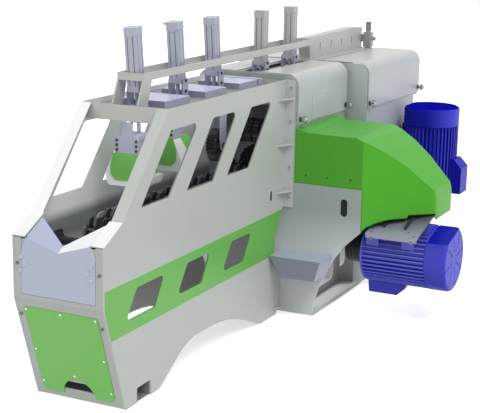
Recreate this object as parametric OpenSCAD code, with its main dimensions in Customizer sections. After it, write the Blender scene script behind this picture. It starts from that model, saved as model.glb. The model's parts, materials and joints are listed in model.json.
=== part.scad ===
// Log milling and sawing machine: infeed with chain and press units, milling module, outfeed module.
// Natural coordinates while modelling: X across with 0 at the log's centre, Y from the nose to the rear,
// Z up from the floor. The last step moves the machine so that the middle of its footprint is the origin.

/* [Infeed] */
// Half the outside width of the infeed
infeed_w = 300; // [260:5:340]
// Thickness of the side plates
plate_t = 10; // [6:1:14]
// Height of the infeed roof
roof_z = 1652; // [1600:1:1700]
// Y of the rear joint of the infeed
joint_y = 2315; // [2250:1:2400]
// Thickness of the folded sheets
sheet_t = 4; // [3:1:6]
// Half the width of the V notch
v_half = 213; // [180:1:230]
// Height of the V notch's lowest point
v_low = 924; // [900:1:940]
// Height of the V notch's ends
v_top = 990; // [970:1:1000]
// Height of the bend in the nose
bend_z = 638; // [600:1:660]
// Y of the foot of the sloped nose face
nose_foot_y = 212; // [180:1:240]

/* [Chain] */
// Pitch of the chain
chain_p = 87.5; // [80:0.5:95]
// Number of links, always even
chain_n = 48; // [44:2:52]
// Radius of the chain round its wheels
chain_r = 130; // [110:1:150]
// Height of the chain wheels' axes
chain_z = 877; // [860:1:890]
// Y of the drive shaft
drive_y = 2102; // [2080:1:2120]
// Radius of the chain shafts
chain_shaft_r = 25; // [20:1:30]
// Height of a dog above the chain's middle line
dog_h = 58; // [40:1:70]

/* [Press units] */
// Y of the five cylinders
cyl_y = [792, 1285, 1770, 2530, 3030];
// Top of the cylinders
cyl_top = 2095; // [2050:1:2120]
// Height of the lower end of the barrels
barrel_z0 = 1716; // [1700:1:1730]
// Tilt of the three infeed cylinders, tops towards the nose
press_tilt = 6.5; // [0:0.5:8]
// Side of the square barrel
cyl_a = 80; // [70:1:90]
// Radius of the cylinder bore
bore_r = 31.5; // [25:0.5:35]
// Radius of the piston rod
rod_r = 12; // [10:1:16]
// Y of the front of the two shoe heads
head_y = [720, 1136]; // [700:1:1160]
// Height of the press roller axes
roller_z = 1240; // [1220:1:1280]
// Radius of the press rollers
roller_r = 90; // [70:1:100]

/* [Drives] */
// Height of the arbor
arbor_z = 905; // [880:1:930]
// Y of the arbor
arbor_y = 2760; // [2700:1:2800]
// Radius of the arbor
arbor_r = 35; // [30:1:45]
// Height of the main motor's axis
motor_z = 468; // [440:1:500]
// Y of the main motor's axis
motor_y = 2604; // [2580:1:2640]
// X of the main motor's drive end
motor_x = 851; // [840:1:880]
// Centre height of both motors over their feet
motor_h = 225; // [200:1:240]
// Tilt of the motor plate
plate_tilt = 13.5; // [5:0.5:18]
// Thickness of the side motor's seat
seat_t = 15; // [10:1:30]
// Y of the side motor
side_y = 4087; // [4050:1:4110]

/* [Modules] */
// Half the width of the first hood
hood1_w = 390; // [380:1:400]
// Half the width of the second hood
hood2_w = 543; // [530:1:560]
// Top of both hoods
hood_z = 1690; // [1680:1:1700]
// Y of the ends of the first hood
hood1_y0 = 2330; // [2328:1:2340]
hood1_y1 = 3220; // [3215:1:3240]
// Y of the ends of the second hood
hood2_y0 = 3270; // [3260:1:3290]
hood2_y1 = 4450; // [4440:1:4480]

/* [Clearances] */
// Radial clearance of a running fit
run = 0.08; // [0.02:0.01:0.1]
// Radial clearance of a bolt in its hole
bolt_gap = 0.5; // [0.2:0.1:1]

/* [Hidden] */
$fn = 64;
knob_out = 57;
bolt_head = 8;
x_lo = -(hood2_w + knob_out);
motor_l1 = 464;
cowl_l = 145;
x_hi = motor_x + motor_l1 + cowl_l;
y_lo = -bolt_head;
y_hi = hood2_y1;
cx = (x_lo + x_hi) / 2;
cy = (y_lo + y_hi) / 2;
in_w = infeed_w - plate_t;
pillar_top = [694, roof_z];
pillar_bend = [190, 1092];
nose_tip = [0, 995];
deck_z = roof_z - 30;
slope_a = atan2(nose_foot_y, bend_z);
slope_l = norm([nose_foot_y, bend_z]);
chain_l = (chain_n * chain_p - 2 * PI * chain_r) / 2;
idler_y = drive_y - chain_l;
chain_phase = 136.6 - chain_p / 2;
wall1 = hood1_w - sheet_t - 4;
wall2 = hood2_w - sheet_t - 4;
side_x = wall2 + seat_t + motor_h;
hinge_z = hood_z - 15;
hinge1_x = 95;
hinge2_x = 160;
spine2_x = hinge2_x - 18;
pin_r = 6;
log_top = 1600;
side_z0 = 610;
side_l = 538;
spindle_x = 300;
hub_d = 375;
hub_h = motor_h + 7.5;
swing_y = motor_y + hub_d * cos(plate_tilt) - hub_h * sin(plate_tilt);
swing_z = motor_z + hub_d * sin(plate_tilt) + hub_h * cos(plate_tilt);
belt_x0 = 705;
belt_x1 = 825;
belt_at = [for (k = [0:4]) belt_x0 + 12 + 24 * k];
pulley1_r = 105;
pulley2_r = 90;

// Plane helpers: a flat drawing becomes a plate across X, Y or Z
module yz(x0, t) translate([x0, 0, 0]) rotate([90, 0, 90]) linear_extrude(t) children();
module xz(y0, t) translate([0, y0 + t, 0]) rotate([90, 0, 0]) linear_extrude(t) children();
module xy(z0, t) translate([0, 0, z0]) linear_extrude(t) children();
module rod_x(x0, x1, y, z, r) translate([x0, y, z]) rotate([0, 90, 0]) cylinder(h = x1 - x0, r = r);
module rod_y(y0, y1, x, z, r) translate([x, y0, z]) rotate([-90, 0, 0]) cylinder(h = y1 - y0, r = r);
module rod_z(z0, z1, x, y, r) translate([x, y, z0]) cylinder(h = z1 - z0, r = r);
module box(x0, x1, y0, y1, z0, z1) translate([x0, y0, z0]) cube([x1 - x0, y1 - y0, z1 - z0]);
module both() {
    children();
    mirror([1, 0, 0]) children();
}
module placed() translate([-cx, -cy, 0]) children();

// Rounded polygon: each corner becomes an arc of its own radius
function wrap180(a) = a > 180 ? a - 360 : (a < -180 ? a + 360 : a);
function corner(a, p, b, r, n) =
    let (u = (a - p) / norm(a - p), v = (b - p) / norm(b - p), h = acos(u * v) / 2,
        c = p + (u + v) / norm(u + v) * r / sin(h), s = p + u * r / tan(h) - c,
        e = p + v * r / tan(h) - c, a0 = atan2(s[1], s[0]), da = wrap180(atan2(e[1], e[0]) - a0))
    [for (k = [0:n]) c + r * [cos(a0 + da * k / n), sin(a0 + da * k / n)]];
function round_poly(pts, rs, n = 4) = [for (i = [0:len(pts) - 1])
    let (m = len(pts), r = is_list(rs) ? rs[i] : rs)
    each (r <= 0 ? [pts[i]] : corner(pts[(i + m - 1) % m], pts[i], pts[(i + 1) % m], r, n))];
module slot2(w, h) {
    translate([0, (h - w) / 2]) circle(d = w);
    translate([0, -(h - w) / 2]) circle(d = w);
    square([w, h - w], center = true);
}

// Infeed side plate with its raked pillar flange and rear joint flange
function window(bl, tl, tr, br, z0, z1) = [[bl, z0], [tl, z1], [tr, z1], [br, z0]];
side_pts = [[nose_foot_y, 0], [0, bend_z], nose_tip, pillar_bend, pillar_top, [2305, roof_z], [2305, 765],
    [2270, 736], [2185, 586], [2172, 481], [2282, 243], [2272, 121], [2222, 0], [1975, 0],
    [1480, 192], [930, 205], [584, 0], [484, 0], [484, 92], [332, 92], [332, 0]];
side_rad = [0, 0, 0, 0, 0, 0, 0, 0, 60, 60, 60, 60, 0, 0, 1200, 500, 0, 0, 12, 12, 0];
upper_windows = [window(381, 722, 1050, 694, 1136, 1530), window(908, 1244, 1565, 1243, 1136, 1530),
    window(1431, 1773, 2087, 1744, 1136, 1530)];
band_windows = [window(214, 335, 645, 533, 520, 690), window(800, 925, 1215, 1105, 520, 690),
    window(1384, 1512, 1804, 1681, 520, 690)];
nose_dir = (pillar_bend - nose_tip) / norm(pillar_bend - nose_tip);
pillar_dir = (pillar_top - pillar_bend) / norm(pillar_top - pillar_bend);
function inward(d) = [d[1], -d[0]];
function at_y(p, d, y) = p + d * (y - p[0]) / d[0];
flange_t = 8;
bend_in = pillar_bend + (inward(nose_dir) + inward(pillar_dir)) / (1 + inward(nose_dir) * inward(pillar_dir)) * flange_t;
module nose_strip() polygon([nose_tip, pillar_bend, bend_in, nose_tip + inward(nose_dir) * flange_t]);
module pillar_strip() polygon([pillar_bend, at_y(pillar_bend, pillar_dir, pillar_top[0] - 0.5),
    at_y(bend_in, pillar_dir, pillar_top[0] - 0.5), bend_in]);
pillar_w = 65;
module infeed_side() {
    yz(in_w, plate_t) difference() {
        polygon(round_poly(side_pts, side_rad));
        for (w = upper_windows) polygon(round_poly(w, [5, 16, 24, 8], 3));
        for (w = band_windows) polygon(round_poly(w, 22, 3));
        translate([drive_y, chain_z]) slot2(25, 70);
    }
    yz(in_w - pillar_w, pillar_w) pillar_strip();
    yz(v_half + 2, in_w - v_half - 2) nose_strip();
    difference() {
        box(in_w, 369, joint_y - 10, joint_y, 765, roof_z);
        for (z = [840, 1050, 1370, 1600]) rod_y(joint_y - 11, joint_y + 1, 345, z, 8 + bolt_gap);
    }
    for (z = [875, 1205, 1520])
        xy(z, 10) polygon([[infeed_w - 1, 2170], [infeed_w - 1, joint_y - 9], [366, joint_y - 9]]);
    xy(50, 8) polygon([[infeed_w - 1, 2150], [infeed_w - 1, 2238], [345, 2232]]);
    // Foot flanges turned inwards, each with an anchor hole
    for (y = [[222, 330], [1985, 2210]]) difference() {
        box(in_w - 70, in_w + 1, y[0], y[1], 0, 12);
        rod_z(-1, 13, anchor_x, y[0] == 222 ? anchor_y0 : anchor_y1, 9);
    }
}
anchor_x = 255;
anchor_y0 = 276;
anchor_y1 = 2096;
module infeed_side_right() color([0.74, 0.76, 0.75]) placed() infeed_side();
module infeed_side_left() color([0.74, 0.76, 0.75]) placed() mirror([1, 0, 0]) infeed_side();

// Nose: upright upper face with a lip, sloped lower face with an opening behind the cover
module on_slope() translate([0, 0, bend_z]) rotate([slope_a, 0, 0]) children();
plate_bolts = [[214, 874], [192, 835], [213, 797], [-243, 875], [-218, 836], [-246, 800]];
flange_bolts = [[268, 837], [-268, 837]];
slope_bolts = [[259, -121], [-275, -110]];
cover_x0 = -248;
cover_x1 = 241;
cover_top = -56;
cover_low = -635;
cover_bolts = [for (x = [cover_x0 + 16, cover_x1 - 16]) for (z = [cover_top - 16, -345, cover_low + 66])
    [x, z], [-3, cover_top - 16], [-3, cover_low + 140]];
module nose_frame() color([0.74, 0.76, 0.75]) placed() {
    difference() {
        union() {
            xz(6, 8) polygon([[-in_w, bend_z - 2], [in_w, bend_z - 2], [in_w, 985], [v_half + 4, 975],
                [0, v_low - 8], [-v_half - 4, 975], [-in_w, 985]]);
            both() xz(1, 6) polygon([[244, bend_z], [in_w, bend_z], [in_w, 985], [244, 985]]);
            xz(1, 6) polygon([[-in_w, bend_z - 4], [in_w, bend_z - 4], [in_w, 662], [-in_w, 662]]);
        }
        for (p = plate_bolts) rod_y(-1, 20, p[0], p[1], 6 + bolt_gap);
        for (p = flange_bolts) rod_y(-1, 20, p[0], p[1], 6 + bolt_gap);
    }
    on_slope() difference() {
        xz(2, 8) difference() {
            translate([-in_w, -slope_l + 4]) square([2 * in_w, slope_l - 4]);
            polygon(round_poly([[-190, -150], [190, -150], [190, -520], [-190, -520]], 40));
            polygon([[-150, -560], [150, -560], [150, -604], [-150, -604]]);
            translate([1.5, -604]) intersection() {
                circle(r = 150);
                translate([-150, 0]) square([300, 60]);
            }
        }
        for (p = slope_bolts) rod_y(-1, 14, p[0], p[1], 6 + bolt_gap);
        for (p = cover_bolts) rod_y(-1, 14, p[0], p[1], 3 + bolt_gap);
    }
    // Cross tube that ties the side plates behind the nose, and ribs down the sloped face
    difference() {
        box(-in_w, in_w, 13, 73, 646, 706);
        box(-in_w - 1, in_w + 1, 19, 67, 652, 700);
    }
    for (x = [-in_w, in_w - 8]) on_slope() box(x, x + 8, 9.5, 60, -620, -20);
}

// Funnel: the plate with the V notch and two sheets that rise to the rear like a ramp
v_k = (v_top - v_low) / v_half;
v_m = (pillar_bend[1] - nose_tip[1]) / pillar_bend[0];
v_b = -atan(v_k);
v_a = atan(v_m * cos(v_b));
function v_uv(x, y) = let (v = y / cos(v_a)) [(x - v * sin(v_a) * sin(v_b)) / cos(v_b), v];
module v_sheet() translate([0, 0, v_low]) rotate([v_a, v_b, 0]) xy(-5, 5)
    polygon([v_uv(-9, 0), v_uv(v_half - 12, 0), v_uv(v_half - 3, 16), v_uv(v_half - 3, 165), v_uv(-9, 52)]);
module infeed_funnel() color([0.7, 0.72, 0.8]) placed() difference() {
    union() {
        xz(0, 6) polygon([[-v_half + 2, v_top - 1], [-242, 912], [-242, 664], [242, 664], [242, 912],
            [v_half - 2, v_top - 1], [0, v_low]]);
        both() difference() {
            v_sheet();
            box(-300, 0, -10, 200, 800, 1200);
        }
    }
    for (p = plate_bolts) rod_y(-1, 20, p[0], p[1], 6 + bolt_gap);
}

module nose_cover() color([0.48, 0.71, 0.4]) placed() on_slope() difference() {
    xz(-2, 4) difference() {
        polygon(round_poly([[cover_x0, cover_top], [cover_x1, cover_top], [cover_x1, cover_low],
            [cover_x0, cover_low]], [6, 6, 42, 42], 6));
        translate([1.5, cover_low + 6]) circle(r = 105);
    }
    for (p = cover_bolts) rod_y(-3, 4, p[0], p[1], 3 + bolt_gap);
}

// One bolt along +Y: head in front of y = 0, shank behind it
module bolt(r, head_r, head_h, len) {
    rod_y(0, len, 0, 0, r);
    difference() {
        rod_y(-head_h, 0, 0, 0, head_r);
        translate([0, -head_h + head_h * 0.55, 0]) rotate([90, 0, 0])
            cylinder(h = head_h, r = head_r * 0.55, $fn = 6);
    }
}
module frame_bolts() color([0.45, 0.46, 0.48]) placed() {
    for (p = plate_bolts) translate([p[0], 0, p[1]]) bolt(6, 10, bolt_head, 22);
    for (p = flange_bolts) translate([p[0], 1, p[1]]) bolt(6, 9, bolt_head, 22);
    on_slope() for (p = slope_bolts) translate([p[0], 2, p[1]]) bolt(6, 9, bolt_head, 18);
    on_slope() for (p = cover_bolts) translate([p[0], -2, p[1]]) bolt(3, 6, 3, 14);
    both() for (z = [840, 1050, 1370, 1600]) translate([345, joint_y - 10, z]) bolt(8, 12, 10, 30);
}

// Roof: header beam, deck with a hole under each cylinder, cross ribs
axis_tilt = [press_tilt, press_tilt, press_tilt, 0, 0];
function axis_y(i, z) = cyl_y[i] + (cyl_top - z) * tan(axis_tilt[i]);
function foot_z(i) = i < 3 ? deck_z : roof_z;
rib_ys = [1060, 1560, 2040];
module roof_frame() color([0.72, 0.72, 0.7]) placed() {
    difference() {
        union() {
            box(-in_w, in_w, pillar_top[0], 2305, deck_z - 8, deck_z);
            box(-in_w, in_w, pillar_top[0], pillar_top[0] + 10, 1558, roof_z);
            box(-in_w, in_w, pillar_top[0], pillar_top[0] + 12, 1558, 1568);
            box(-in_w, in_w, 2250, 2258, 1590, roof_z);
            for (y = rib_ys) box(-in_w, in_w, y, y + 8, 1580, deck_z);
        }
        for (i = [0:2]) rod_z(1600, deck_z + 1, 0, axis_y(i, deck_z - 4), rod_r + 7);
        for (y = rib_ys) for (x = [-170, 0, 170]) rod_y(y - 1, y + 9, x, 1597, 8);
    }
    // Dark guide sleeves of the three rods, hung from the deck
    for (i = [0:2]) difference() {
        rod_z(1536, deck_z - 7, 0, axis_y(i, 1575), 52);
        rod_z(1535, deck_z - 6, 0, axis_y(i, 1575), rod_r + 14);
    }
}
cover_boxes = [[892, 1200, 160], [1400, 1690, 160], [1880, 2150, 160], [2172, 2240, 160]];
cover_top_z = roof_z + 8;
module roof_covers() color([0.7, 0.72, 0.8]) placed()
    for (c = cover_boxes) difference() {
        xy(deck_z, cover_top_z - deck_z) polygon(round_poly([[-c[2], c[0]], [c[2], c[0]], [c[2], c[1]],
            [-c[2], c[1]]], 8, 3));
        box(-c[2] + 4, c[2] - 4, c[0] + 4, c[1] - 4, deck_z - 1, cover_top_z - 4);
        for (x = [40 - c[2], c[2] - 40]) for (q = [c[0] + 24, c[1] - 24])
            rod_z(deck_z, cover_top_z + 1, x, q, 5);
    }

// Feed chain: links on a stadium path, dogs on every second link
function chain_pt(s0) = let (per = 2 * chain_l + 2 * PI * chain_r, s = s0 - per * floor(s0 / per),
    half = chain_l + PI * chain_r)
    s < chain_l ? [idler_y + s, chain_z + chain_r] :
    s < half ? let (a = 90 - (s - chain_l) / chain_r * 180 / PI)
        [drive_y + chain_r * cos(a), chain_z + chain_r * sin(a)] :
    s < half + chain_l ? [drive_y - (s - half), chain_z - chain_r] :
    let (a = 270 - (s - half - chain_l) / chain_r * 180 / PI)
        [idler_y + chain_r * cos(a), chain_z + chain_r * sin(a)];
module link2(i, w) {
    a = chain_pt(chain_phase + i * chain_p);
    b = chain_pt(chain_phase + (i + 1) * chain_p);
    translate(a) rotate(atan2(b[1] - a[1], b[0] - a[0])) {
        l = norm(b - a);
        polygon(round_poly([[-w, -w], [l + w, -w], [l + w, w], [-w, w]], w - 2, 4));
    }
}
module dog2(i) {
    a = chain_pt(chain_phase + i * chain_p);
    b = chain_pt(chain_phase + (i + 1) * chain_p);
    translate(a) rotate(atan2(b[1] - a[1], b[0] - a[0])) {
        l = norm(b - a);
        polygon(round_poly([[6, 0], [l - 6, 0], [l - 6, 24], [l - 22, dog_h], [l / 2 - 14, dog_h], [6, 26]],
            [0, 0, 6, 10, 10, 6], 3));
    }
}
module feed_chain() color([0.25, 0.26, 0.28]) placed() {
    for (x = [-32, 26]) yz(x, 6) for (i = [0:2:chain_n - 2]) link2(i, 20);
    for (x = [-26, 20]) yz(x, 6) for (i = [1:2:chain_n - 1]) link2(i, 18);
    yz(-35, 70) for (i = [0:chain_n - 1]) translate(chain_pt(chain_phase + i * chain_p)) circle(r = 7);
    yz(-19.5, 39) for (i = [0:chain_n - 1]) translate(chain_pt(chain_phase + i * chain_p)) circle(r = 14);
    for (x = [-32, 14]) yz(x, 18) for (i = [0:2:chain_n - 2]) dog2(i);
}
module chain_bed() color([0.5, 0.52, 0.52]) placed() {
    box(-17, 17, idler_y + 90, drive_y - 112, 960, chain_z + chain_r - 14.2);
    difference() {
        box(-60, 60, idler_y + 124, drive_y - 122, 890, 960);
        box(-54, 54, idler_y + 123, drive_y - 121, 896, 954);
    }
    for (y = [680, 1220, 1800]) difference() {
        box(-in_w, in_w, y, y + 60, 810, 890);
        box(-in_w - 1, in_w + 1, y + 6, y + 54, 816, 884);
    }
    both() difference() {
        yz(62, 6) polygon([[480, 900], [2000, 900], [2040, 960], [2040, 1040], [520, 1040], [440, 980]]);
        for (y = [640:220:1960]) rod_x(60, 70, y, 1000, 18);
    }
    both() for (y = [700, 1240, 1820]) box(60, 62.5, y, y + 20, 900, 950);
}
module chain_wheel() {
    yz(-15, 30) difference() {
        polygon([for (i = [0:35]) let (r = [115, 115, 104, 104][(i % 4)]) r * [cos(i * 10), sin(i * 10)]]);
        for (a = [0:60:300]) rotate(a) translate([68, 0]) circle(r = 17);
    }
    rod_x(-36, 36, 0, 0, 42);
}
module chain_shaft(y, end) color([0.3, 0.31, 0.33]) placed() {
    translate([0, y, chain_z]) {
        chain_wheel();
        rod_x(-286, 286, 0, 0, chain_shaft_r);
        for (x = [-258, 250]) rod_x(x, x + 8, 0, 0, 34);
    }
}
module chain_drive_shaft() chain_shaft(drive_y, 1);
module chain_idler_shaft() chain_shaft(idler_y, 0);

// Bearings: flanged housings for the chain shafts, the arbor and the upright spindle
module flange_bearing(r, h, a) difference() {
    union() {
        xy(0, 8) polygon(round_poly([[-a, -a], [a, -a], [a, a], [-a, a]], a * 0.25, 4));
        cylinder(h = h, r = a * 0.78);
    }
    translate([0, 0, -1]) cylinder(h = h + 2, r = r + run);
    for (x = [-1, 1]) for (y = [-1, 1]) translate([x * a * 0.78, y * a * 0.78, -1]) cylinder(h = 20, r = 6);
}
module shaft_bearings() color([0.33, 0.35, 0.37]) placed() {
    both() for (y = [idler_y, drive_y]) translate([in_w, y, chain_z]) rotate([0, -90, 0])
        flange_bearing(chain_shaft_r, 30, 55);
    both() translate([wall1 - 10, arbor_y, arbor_z]) rotate([0, -90, 0]) flange_bearing(arbor_r, 50, 85);
    translate([spindle_x, side_y, 700]) flange_bearing(28, 60, 75);
    translate([spindle_x, side_y, 690]) rotate([180, 0, 0]) flange_bearing(28, 40, 75);
}

// Cylinder feet: a U of flat steel under each barrel, with its two bolts
foot_bolt_z = [barrel_z0 + 14, deck_z + 45];
module cylinder_feet() color([0.62, 0.63, 0.66]) placed() for (i = [0:4]) translate([0, axis_y(i, foot_z(i)), 0]) {
    difference() {
        union() {
            box(-52, 52, -45, 45, foot_z(i), foot_z(i) + 12);
            both() yz(42.05, 10) polygon(round_poly([[-36, foot_z(i) + 5], [36, foot_z(i) + 5],
                [30, barrel_z0 + 28], [-38, barrel_z0 + 28]], [0, 0, 14, 14], 4));
        }
        rod_z(foot_z(i) - 1, foot_z(i) + 13, 0, -1, rod_r + 6);
    }
    both() for (z = foot_bolt_z) rod_x(51.5, 60, -4, max(z, foot_z(i) + 30), 9);
}
module groove2(a) {
    translate([0, a - 3]) square([5, 8], center = true);
    translate([0, a - 7]) square([11, 5], center = true);
}
// Everything on a press axis is drawn upright about the barrel's upper end, then tilted
module on_axis(i) translate([0, cyl_y[i], cyl_top]) rotate([axis_tilt[i], 0, 0])
    translate([0, 0, -cyl_top]) children();
function cap2(a) = round_poly([[-a - 2, -a - 2], [a + 2, -a - 2], [a + 2, a + 2], [-a - 2, a + 2]], 8, 3);
module cylinder_unit(i) placed() on_axis(i) {
    a = cyl_a / 2;
    difference() {
        union() {
            xy(barrel_z0, 36) polygon(cap2(a));
            xy(barrel_z0 + 36, cyl_top - 45 - barrel_z0 - 36) difference() {
                polygon(round_poly([[-a, -a], [a, -a], [a, a], [-a, a]], 6, 3));
                for (q = [0:90:270]) rotate(q) for (x = [-19, 19]) translate([x, 0]) groove2(a);
            }
            xy(cyl_top - 45, 45) polygon(cap2(a));
            xy(cyl_top - 57, 13) polygon(round_poly([[-20, -a - 2], [20, -a - 2], [20, a + 2], [-20, a + 2]], 3, 3));
        }
        rod_z(barrel_z0 + 30, cyl_top - 38, 0, 0, bore_r);
        rod_z(barrel_z0 - 1, barrel_z0 + 40, 0, 0, rod_r + run);
        for (q = [-1, 1]) for (p = [-1, 1]) rod_z(cyl_top - 10, cyl_top + 1, q * 31, p * 31, 6);
    }
    if (i == 1) {
        rod_x(-a - 26, -a - 1, 0, cyl_top - 16, 9);
        rod_x(-a - 38, -a - 25, 0, cyl_top - 16, 7);
    }
}
module cylinder_1() color([0.66, 0.67, 0.78]) cylinder_unit(0);
module cylinder_2() color([0.66, 0.67, 0.78]) cylinder_unit(1);
module cylinder_3() color([0.66, 0.67, 0.78]) cylinder_unit(2);
module cylinder_4() color([0.62, 0.63, 0.65]) cylinder_unit(3);
module cylinder_5() color([0.62, 0.63, 0.65]) cylinder_unit(4);

// Press slides: piston, rod and head; the first two carry shoes, the others carry a wheel or roller
piston_z = cyl_top - 245;
module piston() {
    rod_z(piston_z, piston_z + 35, 0, 0, bore_r - run);
    rod_z(1455, piston_z + 10, 0, 0, rod_r);
}
module shoe_head(i, zf) placed() {
    yf = head_y[i];
    ya = axis_y(i, 1455);
    on_axis(i) piston();
    box(-37.5, 37.5, yf, yf + 12, 1455, 1548);
    xz(yf, 12) polygon(round_poly([[-82.5, zf], [82.5, zf], [82.5, 1460], [-82.5, 1460]], [4, 4, 14, 14], 3));
    box(-70, 70, yf + 11, ya + 34, 1444, 1466);
    box(-82.5, 82.5, yf, yf + 120, zf, zf + 10);
    for (x = [-60, 52]) yz(x, 8) polygon([[yf + 11, zf + 9], [yf + 110, zf + 9], [ya, 1445], [yf + 11, 1445]]);
    for (x = [-66, 66]) for (z = [zf + 20, zf + 48, zf + 76]) if (z < 1450) rod_y(yf - 6, yf, x, z, 8);
}
module fork_head(i, w) placed() {
    ya = axis_y(i, roller_z);
    on_axis(i) piston();
    translate([0, ya, 0]) {
        box(-w - 12, w + 12, -40, 40, 1440, 1468);
        both() yz(w, 12) difference() {
            polygon(round_poly([[-38, 1441], [-38, roller_z + 30], [-24, roller_z - 32], [24, roller_z - 32],
                [38, roller_z + 30], [38, 1441]], [0, 30, 20, 20, 30, 0], 4));
            translate([0, roller_z]) circle(r = 15 + run);
        }
    }
}
module press_slide_1() color([0.6, 0.61, 0.66]) shoe_head(0, 1362);
module press_slide_2() color([0.6, 0.61, 0.66]) shoe_head(1, 1398);
module press_slide_3() color([0.6, 0.61, 0.66]) fork_head(2, 40);
module press_slide_4() color([0.6, 0.61, 0.66]) fork_head(3, 150);
module press_slide_5() color([0.6, 0.61, 0.66]) fork_head(4, 150);

// A shoe: upper body with a closed front, and a wide runner under it that rises along both sides
module shoe(y0, y1, z0, z1, k) {
    body = [[-83, z1], [-104, z1 - 70], [-104, z0 + 70], [-70, z0 + 36], [70, z0 + 36], [104, z0 + 70],
        [104, z1 - 70], [83, z1]];
    core = [[-78, z1 - 6], [-98, z1 - 70], [-98, z0 + 70], [-68, z0 + 42], [68, z0 + 42], [98, z0 + 70],
        [98, z1 - 70], [78, z1 - 6]];
    rim = [[-84, z1 - 4], [-142, z0 + 62], [-130, z0], [130, z0], [142, z0 + 62], [84, z1 - 4]];
    difference() {
        xz(y0, y1 - y0) polygon(round_poly(body, [0, 20, 30, 20, 20, 30, 20, 0], 3));
        xz(y0 + 8, y1 - y0) polygon(core);
    }
    difference() {
        xz(y0 + 6, y1 - y0 - 6) polygon(round_poly(rim, [0, 40, 30, 30, 40, 0], 4));
        xz(y0, y1 - y0 + 1) polygon(round_poly(core, 0));
        yz(-200, 400) polygon([[y0 + k, z1 + 1], [y0 + k + 50, z0 + 62], [y1 + 1, z0 + 62], [y1 + 1, z1 + 1]]);
    }
}
module press_shoe_1() color([0.45, 0.7, 0.37]) placed() shoe(704, 900, 1166, 1362, 70);
module press_shoe_2() color([0.45, 0.7, 0.37]) placed() shoe(1121, 1330, 1194, 1398, 90);
module axle(w) {
    rod_x(-w - 18, w + 18, 0, 0, 15);
    both() rod_x(w + 12.4, w + 18, 0, 0, 22);
}
module press_wheel_3() color([0.16, 0.16, 0.18]) placed() translate([0, axis_y(2, roller_z), roller_z]) {
    axle(40);
    yz(-30, 60) difference() {
        polygon([for (i = [0:47]) let (r = i % 2 == 0 ? 110 : 92) r * [cos(i * 7.5), sin(i * 7.5)]]);
        for (a = [0:72:288]) rotate(a) translate([55, 0]) circle(r = 18);
    }
    both() rod_x(29.5, 39, 0, 0, 28);
}
module press_roller() {
    axle(150);
    difference() {
        yz(-140, 280) polygon([for (i = [0:35]) let (r = i % 2 == 0 ? roller_r : roller_r - 10)
            r * [cos(i * 10), sin(i * 10)]]);
        for (x = [-80, -20, 40, 100]) difference() {
            rod_x(x - 12, x, 0, 0, roller_r + 5);
            rod_x(x - 13, x + 1, 0, 0, roller_r - 22);
        }
    }
    both() rod_x(139.5, 149, 0, 0, 26);
}
module press_roller_4() color([0.3, 0.31, 0.33]) placed() translate([0, cyl_y[3], roller_z]) press_roller();
module press_roller_5() color([0.3, 0.31, 0.33]) placed() translate([0, cyl_y[4], roller_z]) press_roller();

// Top rail with front cross bar and raked legs, the box behind it, the pressure regulator
rail_y0 = 766;
rail_w = 90;
module top_rail() color([0.76, 0.77, 0.75]) placed() {
    bar = [[rail_y0, 1787], [3282, 1801], [3282, 1846], [rail_y0, 1832]];
    leg = [[700, roof_z], [706.5, roof_z], [706.5, deck_z], [806, deck_z], [864, 1800], [864, 1815], [rail_y0, 1815],
        [rail_y0, 1795]];
    both() yz(rail_w - 10, 10) polygon(bar);
    both() yz(rail_w - 10, 10) polygon(leg);
    box(-rail_w, rail_w, rail_y0, rail_y0 + 10, 1787, 1832);
    box(-rail_w, rail_w, 3272, 3282, 1801, 1846);
}
module rail_box() color([0.72, 0.73, 0.78]) placed() difference() {
    yz(-45, 90) polygon([[3312, hood_z], [3282, 1800], [3282, 1846], [4200, 1866], [reg_y + 16, 1856],
        [reg_y + 16, hood_z]]);
    yz(-41, 82) polygon([[3320, hood_z + 4], [3288, 1802], [3288, 1842], [4200, 1862], [reg_y + 12, 1852],
        [reg_y + 12, hood_z + 4]]);
    for (y = [3500:220:4300]) for (x = [-50, 38]) yz(x, 14) translate([y, 1770]) slot2(24, 60);
}
reg_x = 108;
reg_y = 4380;
port_r = 8.05;
module regulator_body() color([0.3, 0.32, 0.36]) placed() difference() {
    union() {
        xy(1700, 118) translate([reg_x, reg_y])
            polygon(round_poly([[-36, -30], [36, -30], [36, 30], [-36, 30]], 8, 3));
        rod_z(1817, 1827, reg_x, reg_y, 21);
        rod_z(1694, 1701, reg_x, reg_y, 24);
        box(45, 80, reg_y - 14, reg_y + 14, 1740, 1800);
        rod_x(reg_x + 35, reg_x + 62, reg_y, 1769, 17);
    }
    rod_x(reg_x + 42, reg_x + 63, reg_y, 1769, port_r);
    rod_z(1810, 1828, reg_x, reg_y, 8 + run);
}
module regulator_knob() color([0.12, 0.12, 0.13]) placed() {
    xy(1831, 74) translate([reg_x, reg_y]) polygon([for (i = [0:35])
        (i % 2 == 0 ? 23 : 21) * [cos(i * 10), sin(i * 10)]]);
    rod_z(1812, 1832, reg_x, reg_y, 8);
}

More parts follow.
